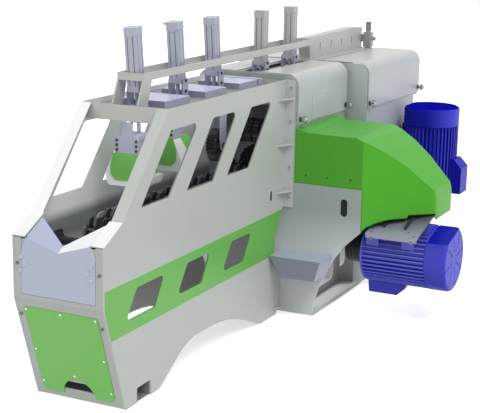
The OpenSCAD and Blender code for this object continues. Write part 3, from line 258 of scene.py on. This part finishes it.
# Painted light and shade: each three-colour material here gets a lighter or darker colour on its upper, front
# and side faces; the blue tops are darker as a painted dark reflection.
MATS = {
    "paint_gray": lit_faces("paint_gray", GRAY, 0.36,
                        (196, 198, 196), (166, 170, 168), (190, 194, 195)),
    "paint_frame": lit_faces("paint_frame", (150, 153, 152), 0.4,
                         (158, 160, 158), (138, 141, 140), (156, 159, 160)),
    "paint_hood": lit_faces("paint_hood", GRAY, 0.3, (202, 203, 201), (188, 194, 193), (184, 188, 192), 0.35),
    "plate_lavender": lit_faces("plate_lavender", (172, 175, 200), 0.34,
                            (208, 211, 240), (136, 139, 158), (172, 175, 198)),
    "paint_green": lit_faces("paint_green", (104, 180, 72), 0.32, (116, 190, 84), (108, 182, 80), (104, 182, 74)),
    "paint_guard": lit_faces("paint_guard", (60, 172, 10), 0.3,
                         (96, 182, 76), (82, 160, 54), (94, 182, 60), 0.06, 0.012),
    "cylinder_body": lit_faces("cylinder_body", (160, 163, 186), 0.34,
                           (186, 188, 214), (172, 175, 188), (174, 178, 198)),
    "press_steel": lit_faces("press_steel", (170, 173, 192), 0.36,
                         (180, 182, 200), (172, 175, 194), (160, 163, 180)),
    "dark_steel": metal("dark_steel", (62, 65, 70), 0.4, 0.45),
    "bolts": metal("bolts", (120, 122, 132), 0.36, 0.7),
    "bright_steel": metal("bright_steel", (150, 152, 156), 0.3, 0.9),
    # Motor plate: painted shadow, darker towards the belt guard at the back.
    "motor_plate": shade_graded("motor_plate", "Y", ((2330, (160, 162, 178)), (2620, (92, 96, 106))), 0.32),
    "paint_blue": lit_faces("paint_blue", (30, 30, 176), 0.26, (4, 6, 168), (74, 76, 190), (80, 80, 210), 0.04),
    "belt": paint("belt", (26, 26, 28), 0.7),
    "knob_bright": metal("knob_bright", (176, 178, 180), 0.22, 0.9),
    "regulator": metal("regulator", (158, 160, 164), 0.4, 0.4),
    "regulator_knob": paint("regulator_knob", (128, 131, 134), 0.45),
}
# Dark grey: the own colour of dark bolts and fittings, and also painted shade on the motor plate under the
# guard, inside the roof openings and behind the nose notch.
DARK_FITTING_AND_SHADE = paint("dark_fitting_and_shade", (40, 42, 46), 0.45)
# Inside of the mill frame: painted shade, pale low down and darker towards the top.
BASE_IN_SHADE = shade_graded("base_inside", "Z", ((60, (176, 178, 178)), (420, (84, 85, 86))), 0.5)
# Near black, used as painted shade inside a slot of the side plate and behind the slot of the front wall.
SHADE_BLACK = paint("painted_shade_black", (16, 17, 18), 0.8)
# Near white, used as a painted highlight on the lit upper and sloped faces of the nose and funnel.
LIT_WHITE = paint("painted_highlight_white", (240, 241, 242), 0.3)
RIM = paint("runner_pale", (224, 228, 226), 0.35)
SHINY = metal("shiny_screw", (235, 236, 240), 0.15, 0.9)
SIDE_R = side_paint("side_right", (187, 191, 188), (103, 182, 72), 1)
# The left plate's paint is a darker copy of the right plate's: painted shade.
SIDE_L = side_paint("side_left", (176, 179, 178), (103, 182, 72), -1)
slots = {s["node"]: s["material_slot"] for s in frame["record"]["subparts"]}
# The three-colour materials here carry painted light and shade on their upper, front and side faces; the roof
# frame's top is darker as painted shade.
own = {
    "infeed_side_right": SIDE_R,
    "infeed_side_left": SIDE_L,
    "cylinder_4": lit_faces("cylinder_gray", (158, 160, 160), 0.36,
                        (184, 186, 184), (168, 170, 170), (184, 186, 186)),
    "roof_frame": lit_faces("roof_gray", (172, 173, 170), 0.4, (150, 151, 150), (184, 184, 180), (170, 171, 168)),
    "top_rail": lit_faces("rail_gray", (176, 178, 174), 0.36, (196, 198, 194), (180, 182, 178), (190, 193, 188)),
    "main_motor_rotor": MATS["dark_steel"],
}
own["cylinder_5"] = own["cylinder_4"]
# Front wall of the mill: painted light and shade, lighter low down and darker towards the top.
own["mill_front_wall"] = shade_graded("front_wall", "Z", ((420, (214, 216, 216)), (760, (156, 164, 162))), 0.36)
# Outfeed, chute, blue motor parts and funnel: painted light and shade on their upper, front and side faces;
# the blue tops are darker as a painted dark reflection, and the main motor's front is lighter as painted
# light.
own["outfeed_frame"] = lit_faces("outfeed_gray", (176, 180, 182), 0.36,
                             (184, 186, 186), (186, 191, 192), (178, 182, 189))
own["chip_chute"] = lit_faces("chute", (160, 163, 186), 0.34, (176, 183, 204), (132, 134, 152), (160, 164, 184))
blue_side = lit_faces("blue_side", (26, 28, 170), 0.26, (4, 6, 168), (22, 30, 156), (80, 80, 210), 0.04)
own["side_motor_housing"] = own["side_motor_cowl"] = blue_side
own["side_motor_box"] = lit_faces("blue_box", (26, 28, 170), 0.3,
                              (20, 24, 168), (20, 26, 150), (46, 54, 186), 0.04)
own["main_motor_housing"] = lit_faces("blue_main", (60, 62, 190), 0.26,
                                  (4, 6, 168), (112, 114, 214), (80, 80, 210), 0.04)
own["rail_box"] = own["top_rail"]
own["infeed_funnel"] = lit_faces("funnel", (172, 179, 206), 0.34,
                             (174, 181, 208), (171, 179, 196), (176, 182, 206))
for name, ob in frame["nodes"].items():
    ob.data.materials.clear()
    ob.data.materials.append(own.get(name, MATS[slots[name]]))
    for poly in ob.data.polygons:
        poly.material_index = 0


def repaint(name, mat, test):
    """Give a second material to the faces of a node whose middle and normal pass the test."""
    ob = frame["nodes"][name]
    ob.data.materials.append(mat)
    k = len(ob.data.materials) - 1
    for poly in ob.data.polygons:
        c = ob.matrix_world @ poly.center
        if test(c.x * 1000 + SHIFT[0], c.y * 1000 + SHIFT[1], c.z * 1000, poly.normal):
            poly.material_index = k


FAR = 1e6


def within(x=(-FAR, FAR), y=(-FAR, FAR), z=(-FAR, FAR), facing=lambda n: True):
    """Test for faces whose middle lies in a box and whose normal is as wanted."""
    def test(cx, cy, cz, n):
        return x[0] < cx < x[1] and y[0] < cy < y[1] and z[0] < cz < z[1] and facing(n)
    return test


def on_plate(x, y, z, n):
    return (z - MOTOR_Z) * math.cos(TILT) - (y - MOTOR_Y) * math.sin(TILT) > PLATE_TOP


def shoe_rim(z0, z1):
    """Faces of the pale runner that goes round the side of a shoe from height z0 to z1."""
    half, top, low, narrowing = 104, z1 - 70, z0 + 70, 21

    def test(x, y, z, n):
        w = half
        if z > top:
            w = half - narrowing * (z - top) / 70
        if z < low:
            w = z - z0 + 34
        return abs(x) > w + 0.6 or z < z0 + 35.5
    return test


def cut_face(n):
    return abs(n.x) < 0.5


FEET_PLATE = 52.3
MODULE_1_Y, NOSE_TOP, LOWER_COVER_TOP = 2200, 985, 600
SLIDE_LOW = 1450
WINDOWS_Y, WINDOWS_Z = (640, 2240), (990, 1600)
BAND_Y, BAND_Z = (180, 2200), (BAND_LOW, BAND_HIGH)
SLOT_Y, SLOT_Z = (2085, 2119), (838, 916)

# Ribs and lugs on top of the motor plate painted dark: painted shade under the belt guard.
repaint("motor_plate", DARK_FITTING_AND_SHADE, on_plate)
# Inner side of the mill frame: painted shade, darker towards the top.
repaint("mill_frame", BASE_IN_SHADE, within(x=(MILL_WALL, FAR)))
repaint("cylinder_feet", DARK_FITTING_AND_SHADE, lambda x, y, z, n: abs(x) > FEET_PLATE)
repaint("press_shoe_1", RIM, shoe_rim(1166, 1362))
repaint("press_shoe_2", RIM, shoe_rim(1194, 1398))
repaint("press_slide_1", DARK_FITTING_AND_SHADE, within(y=(-FAR, 719.5), z=(-FAR, SLIDE_LOW)))
repaint("press_slide_2", DARK_FITTING_AND_SHADE, within(y=(-FAR, 1135.5), z=(-FAR, SLIDE_LOW)))
# Upper and sloped faces of the funnel's right-hand sheets painted white: painted highlight where light falls
# on them.
repaint("infeed_funnel", LIT_WHITE, within(x=(0, FAR), z=(915, FAR), facing=lambda n: abs(n.z) > 0.3))
# Inner face of the left side plate: painted light and shade, pale low down, a band of painted shadow from 900
# to 985, and pale again at the top.
INNER_SHADE_STOPS = ((800, (196, 196, 196)), (900, (124, 128, 132)),
               (985, (128, 134, 138)), (1045, (232, 232, 234)))
INNER_SHADED = shade_graded("inner_wall", "Z", INNER_SHADE_STOPS, 0.5)
repaint("infeed_side_left", INNER_SHADED, within(x=(-SIDE_IN - 2, -SIDE_IN), facing=lambda n: n.x > 0.9))
COVER = paint("cover_lavender", (164, 166, 218), 0.3)
# Pale bolt heads at the front, with painted light and shade on their upper, front and side faces.
PALE = lit_faces("pale_head", (200, 204, 218), 0.3, (226, 228, 236), (196, 200, 214), (206, 208, 220))
repaint("frame_bolts", MATS["paint_gray"], within(y=(MODULE_1_Y, FAR)))
repaint("frame_bolts", PALE, within(x=(-257, 257), y=(-FAR, MODULE_1_Y), z=(700, FAR)))
repaint("frame_bolts", SHINY, within(x=(-244, 244), y=(-FAR, MODULE_1_Y), z=(-FAR, LOWER_COVER_TOP)))
# Upper faces at the nose of both side plates painted white: painted highlight where light falls on them.
repaint("infeed_side_left", LIT_WHITE,
        within(y=(-FAR, 700), z=(NOSE_TOP, FAR), facing=lambda n: n.z > 0.3 and n.y < -0.3))
for side in ("infeed_side_right", "infeed_side_left"):
    repaint(side, LIT_WHITE, within(y=(-FAR, 195), z=(NOSE_TOP, FAR), facing=lambda n: n.z > 0.75))
# Cut faces of the windows and of the band are darker copies of the plate's colours: painted shade on these
# inner faces.
SHADED_EDGE = paint("cut_edge", (128, 132, 130), 0.5)
SHADED_GREEN_EDGE = paint("cut_edge_green", (86, 138, 68), 0.5)
repaint("infeed_side_right", SHADED_EDGE, within(y=WINDOWS_Y, z=WINDOWS_Z, facing=cut_face))
repaint("infeed_side_right", SHADED_GREEN_EDGE, within(y=BAND_Y, z=BAND_Z, facing=cut_face))
# Dark blue for the top of the side motor's fan cowl: a painted dark reflection on its upper faces.
CAP_REFLECTION_BLUE = paint("cap_blue", (12, 16, 166), 0.4, spec=0.0)
# Cut faces of the slot in the right side plate painted black: painted shade inside the slot.
repaint("infeed_side_right", SHADE_BLACK, within(y=SLOT_Y, z=SLOT_Z, facing=cut_face))
repaint("side_motor_cowl", CAP_REFLECTION_BLUE, lambda x, y, z, n: n.z > 0.8)


def guide_opening(x, y, z, n):
    """Inside of the openings in the roof, apart from the ribs between them; painted dark as the shade within
    them.
    """
    inside = z < 1612 and y > 790 and abs(x) < 60 and abs(n.z) < 0.9
    return inside and not 1055 < y < 1072 and not 2035 < y < 2052


repaint("roof_frame", DARK_FITTING_AND_SHADE, guide_opening)


# Helpers for the added small pieces
def link(ob, mat, body):
    bpy.context.scene.collection.objects.link(ob)
    ob.data.materials.append(mat)
    if body:
        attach(ob, body)
    return ob


def mesh_ob(name, verts, faces, mat, body, smooth=False):
    me = bpy.data.meshes.new(name)
    me.from_pydata(verts, [], faces)
    me.update()
    for p in me.polygons:
        p.use_smooth = smooth
    return link(bpy.data.objects.new(name, me), mat, body)


def prism(name, pts, axis, lo, hi, mat, body, smooth=False):
    """Flat outline pulled along an axis; pts are the two other coordinates in mm."""
    def at(p, t):
        a, b = p
        return P(*((t, a, b) if axis == "x" else (a, t, b) if axis == "y" else (a, b, t)))

    n = len(pts)
    verts = [at(p, lo) for p in pts] + [at(p, hi) for p in pts]
    faces = [tuple(range(n)), tuple(range(2 * n - 1, n - 1, -1))]
    faces += [(i, i + n, (i + 1) % n + n, (i + 1) % n) for i in range(n)]
    ob = mesh_ob(name, verts, faces, mat, body)
    me = ob.data
    bm = bmesh.new()
    bm.from_mesh(me)
    bmesh.ops.recalc_face_normals(bm, faces=bm.faces)
    bm.to_mesh(me)
    bm.free()
    return ob


def rect(a0, a1, b0, b1):
    return [(a0, b0), (a1, b0), (a1, b1), (a0, b1)]


def ring_pts(a, b, r, n=20, lobes=0, depth=0.0):
    out = []
    for k in range(n):
        t = 2 * math.pi * k / n
        q = r * (1 + depth * math.cos(lobes * t)) if lobes else r
        out.append((a + q * math.cos(t), b + q * math.sin(t)))
    return out


def discs(name, spots, axis, r, lo, hi, mat, body, n=12):
    """Equal round heads at several places, as one mesh."""
    bm = bmesh.new()
    for spot in spots:
        a, b, base = spot
        rows = []
        for t in (base + lo, base + hi):
            row = []
            for q in ring_pts(a, b, r, n):
                v = (t, q[0], q[1]) if axis == "x" else (q[0], t, q[1]) if axis == "y" else (q[0], q[1], t)
                row.append(bm.verts.new(P(*v)))
            rows.append(row)
        bm.faces.new(rows[0])
        bm.faces.new(list(reversed(rows[1])))
        for k in range(n):
            bm.faces.new((rows[0][k], rows[1][k], rows[1][(k + 1) % n], rows[0][(k + 1) % n]))
    bmesh.ops.recalc_face_normals(bm, faces=bm.faces)
    me = bpy.data.meshes.new(name)
    bm.to_mesh(me)
    bm.free()
    return link(bpy.data.objects.new(name, me), mat, body)


# Screws on the roof covers
spots = []
for y0, y1 in ((892, 1200), (1400, 1690), (1880, 2150)):
    spots += [(x, y, 1660) for x in (-120, 120) for y in (y0 + 24, y1 - 24)]
discs("cover_screws", spots, "z", 9, -2, 3, SHINY, "frame")

# Star grips of the hand screws on the hoods
for w, ys, z, tag in ((HOOD_1_W, (2354, 3190), 1380, "1"), (HOOD_2_W, (3294, 4420), 1388, "2")):
    for sign, side in ((1, "r"), (-1, "l")):
        body = "hood_%s_%s" % (tag, side)
        for k, y in enumerate(ys):
            end = "_%s_%s_%d" % (tag, side, k + 1)
            a, b = sorted((sign * (w + 24), sign * (w + 45)))
            prism("grip" + end, ring_pts(y, z, 23, 40, 5, 0.14), "x", a, b, MATS["knob_bright"], body)
            a, b = sorted((sign * (w + 0.3), sign * (w + 10)))
            prism("collar" + end, ring_pts(y, z, 17), "x", a, b, DARK_FITTING_AND_SHADE, body)

# Pale cover plate with two screws on the side of the first hood
COVER_T = 2
prism("hood_cover_plate", rect(2576, 2812, 1372, 1520), "x",
      HOOD_1_W, HOOD_1_W + COVER_T, COVER, "hood_1_r")
spots = [(y, 1498, HOOD_1_W + COVER_T) for y in (2660, 2750)]
discs("hood_cover_screws", spots, "x", 8, -1, 3, SHINY, "hood_1_r")

# Dark sheet behind the slot of the front wall, painted shade for the dark inside, and the seal strip between
# that wall and the first hood
prism("slot_back", rect(700, 800, 700, 900), "y", 2326, 2328.5, SHADE_BLACK, "frame")


def arch_pts(w, top, r, low):
    turns = [math.radians(a) for a in range(0, 91, 10)]
    right = [(w - r + r * math.cos(t), top - r + r * math.sin(t)) for t in turns]
    return [(w, low)] + right + [(-x, z) for x, z in reversed(right)] + [(-w, low)]


def arch_strip(name, outer, inner, y0, y1, mat):
    n = len(outer)
    verts = [P(x, y, z) for y in (y0, y1) for ring in (outer, inner) for x, z in ring]
    faces = []
    for i in range(n - 1):
        faces += [(i, i + 1, n + i + 1, n + i), (2 * n + i, 3 * n + i, 3 * n + i + 1, 2 * n + i + 1),
                  (i, 2 * n + i, 2 * n + i + 1, i + 1), (n + i, n + i + 1, 3 * n + i + 1, 3 * n + i)]
    for i in (0, n - 1):
        faces.append((i, n + i, 3 * n + i, 2 * n + i))
    mesh_ob(name, verts, faces, mat, "frame")


arch_strip("hood_seal", arch_pts(388.5, 1688.5, 90, 1345), arch_pts(374, 1674, 78, 1345), 2325.4, 2329.2,
           MATS["paint_gray"])

# Sheet behind the slots of the rail box
for side, x in (("right", 39), ("left", -40.5)):
    prism("rail_sheet_" + side, rect(3440, 4240, 1738, 1802), "x", x, x + 1.5, own["rail_box"], "frame")

# Fork pocket: a thin channel between the fork slots of both side plates
POCKET_TOP, POCKET_FRONT, POCKET_BACK, POCKET_T = 94, 329, 487, 2.5
for y in (POCKET_FRONT, POCKET_BACK - POCKET_T):
    wall = rect(-SIDE_IN, SIDE_IN, 1, POCKET_TOP)
    prism("fork_pocket_%d" % y, wall, "y", y, y + POCKET_T, MATS["paint_frame"], "frame")
for name, lo, hi in (("top", POCKET_TOP, POCKET_TOP + POCKET_T), ("floor", 0.3, 1.2)):
    prism("fork_pocket_" + name, rect(-SIDE_IN, SIDE_IN, POCKET_FRONT, POCKET_BACK), "z", lo, hi,
          MATS["paint_frame"], "frame")
# Dark sheet behind the notch of the nose: painted shade for the dark inside.
prism("nose_back", rect(-250, 250, 20, 240), "y", 318, 321, DARK_FITTING_AND_SHADE, "frame")

# Thick front lip of the tilted motor plate, with its two bolt ends
def tilted(y, z):
    c, s = math.cos(TILT), math.sin(TILT)
    return (MOTOR_Y + y * c - z * s, MOTOR_Z + y * s + z * c)


lip = [tilted(y, z) for y, z in ((-232, 207), (-227, 207), (-227, 240), (-232, 240))]
prism("plate_lip", lip, "x", 909, 1272, MATS["motor_plate"], "motor_swing")
for k, x in enumerate((946, 1234)):
    pts = [tilted(y, z) for y, z in ((-238, 198), (-232.2, 198), (-232.2, 214), (-238, 214))]
    prism("lip_bolt_%d" % (k + 1), pts, "x", x - 9, x + 9, MATS["bolts"], "motor_swing")

# Closed middle of both fan cowls
def span(name, axis):
    ob = frame["nodes"][name]
    values = [(ob.matrix_world @ v.co)[axis] * 1000 + SHIFT[axis] for v in ob.data.vertices]
    return min(values), max(values)


COWL_HOLE = 41
side_x, side_y = (sum(span("side_motor_rotor", k)) / 2 for k in (0, 1))
cap_at = [(side_x, side_y, span("side_motor_cowl", 2)[1])]
# The side cowl's middle takes the same painted dark reflection as its top.
discs("cowl_middle_side", cap_at, "z", COWL_HOLE, -5, -0.4, CAP_REFLECTION_BLUE, "frame", 32)
cap_at = [(MOTOR_Y, MOTOR_Z, span("main_motor_cowl", 0)[1])]
discs("cowl_middle_main", cap_at, "x", COWL_HOLE, -5, -0.4, MATS["paint_blue"], "motor_swing", 32)

# Floor, sky and lamps
def plain_floor():
    me = bpy.data.meshes.new("floor")
    s, z = 30, 0.0
    me.from_pydata([(-s, -s, z), (s, -s, z), (s, s, z), (-s, s, z)], [], [(0, 1, 2, 3)])
    ob = bpy.data.objects.new("floor", me)
    bpy.context.scene.collection.objects.link(ob)
    m = bpy.data.materials.new("floor")
    m.use_nodes = True
    nt = m.node_tree
    nt.nodes.clear()
    out = nt.nodes.new("ShaderNodeOutputMaterial")
    dif = nt.nodes.new("ShaderNodeBsdfDiffuse")
    dif.inputs["Color"].default_value = (0.9, 0.9, 0.9, 1)
    em = nt.nodes.new("ShaderNodeEmission")
    em.inputs["Color"].default_value = (1, 1, 1, 1)
    em.inputs["Strength"].default_value = 0.55
    add = nt.nodes.new("ShaderNodeAddShader")
    nt.links.new(dif.outputs[0], add.inputs[0])
    nt.links.new(em.outputs[0], add.inputs[1])
    lp = nt.nodes.new("ShaderNodeLightPath")
    mixs = nt.nodes.new("ShaderNodeMixShader")
    a = nt.nodes.new("ShaderNodeMath")
    a.operation = "MAXIMUM"
    nt.links.new(lp.outputs["Is Camera Ray"], a.inputs[0])
    nt.links.new(lp.outputs["Is Glossy Ray"], a.inputs[1])
    nt.links.new(a.outputs[0], mixs.inputs[0])
    nt.links.new(dif.outputs[0], mixs.inputs[1])
    nt.links.new(add.outputs[0], mixs.inputs[2])
    nt.links.new(mixs.outputs[0], out.inputs["Surface"])
    me.materials.append(m)


plain_floor()
world = bpy.data.worlds.new("world")
bpy.context.scene.world = world
world.use_nodes = True
nt = world.node_tree
nt.nodes.clear()
wout = nt.nodes.new("ShaderNodeOutputWorld")
soft = nt.nodes.new("ShaderNodeBackground")
soft.inputs["Color"].default_value = (1, 1, 1, 1)
soft.inputs["Strength"].default_value = 0.62
white = nt.nodes.new("ShaderNodeBackground")
white.inputs["Color"].default_value = (1, 1, 1, 1)
white.inputs["Strength"].default_value = 1.0
lp = nt.nodes.new("ShaderNodeLightPath")
m1 = nt.nodes.new("ShaderNodeMath")
m1.operation = "MAXIMUM"
nt.links.new(lp.outputs["Is Camera Ray"], m1.inputs[0])
nt.links.new(lp.outputs["Is Transmission Ray"], m1.inputs[1])
m2 = nt.nodes.new("ShaderNodeMath")
m2.operation = "MAXIMUM"
nt.links.new(m1.outputs[0], m2.inputs[0])
nt.links.new(lp.outputs["Is Glossy Ray"], m2.inputs[1])
mx = nt.nodes.new("ShaderNodeMixShader")
nt.links.new(m2.outputs[0], mx.inputs[0])
nt.links.new(soft.outputs[0], mx.inputs[1])
nt.links.new(white.outputs[0], mx.inputs[2])
nt.links.new(mx.outputs[0], wout.inputs["Surface"])


def sun(name, direction, strength, angle):
    d = bpy.data.lights.new(name, "SUN")
    d.energy = strength
    d.angle = math.radians(angle)
    ob = bpy.data.objects.new(name, d)
    bpy.context.scene.collection.objects.link(ob)
    ob.rotation_euler = Vector(direction).to_track_quat("-Z", "Y").to_euler()


sun("key", (-0.55, 0.45, -0.9), 1.25, 25)
sun("fill", (0.5, 0.7, -0.35), 0.35, 40)


def panel_lamp(name, at, size, watts, tilt=0.0):
    """Soft lamp inside the machine, so that the open frame isn't black within."""
    d = bpy.data.lights.new(name, "AREA")
    d.shape = "RECTANGLE"
    d.size, d.size_y = size
    d.energy = watts
    ob = bpy.data.objects.new(name, d)
    bpy.context.scene.collection.objects.link(ob)
    ob.location = at
    ob.rotation_euler = (0.0, tilt, 0.0)
    ob.visible_camera = False
    ob.visible_glossy = False


panel_lamp("lamp_infeed", P(60, 1450, 1530), (0.3, 1.5), 1.8, math.radians(25))
panel_lamp("lamp_nose", P(0, 420, 1250), (0.3, 0.4), 0.3)
panel_lamp("lamp_base", P(0, 2760, 620), (0.5, 0.5), 9.0)
bpy.context.scene.view_settings.view_transform = "Standard"
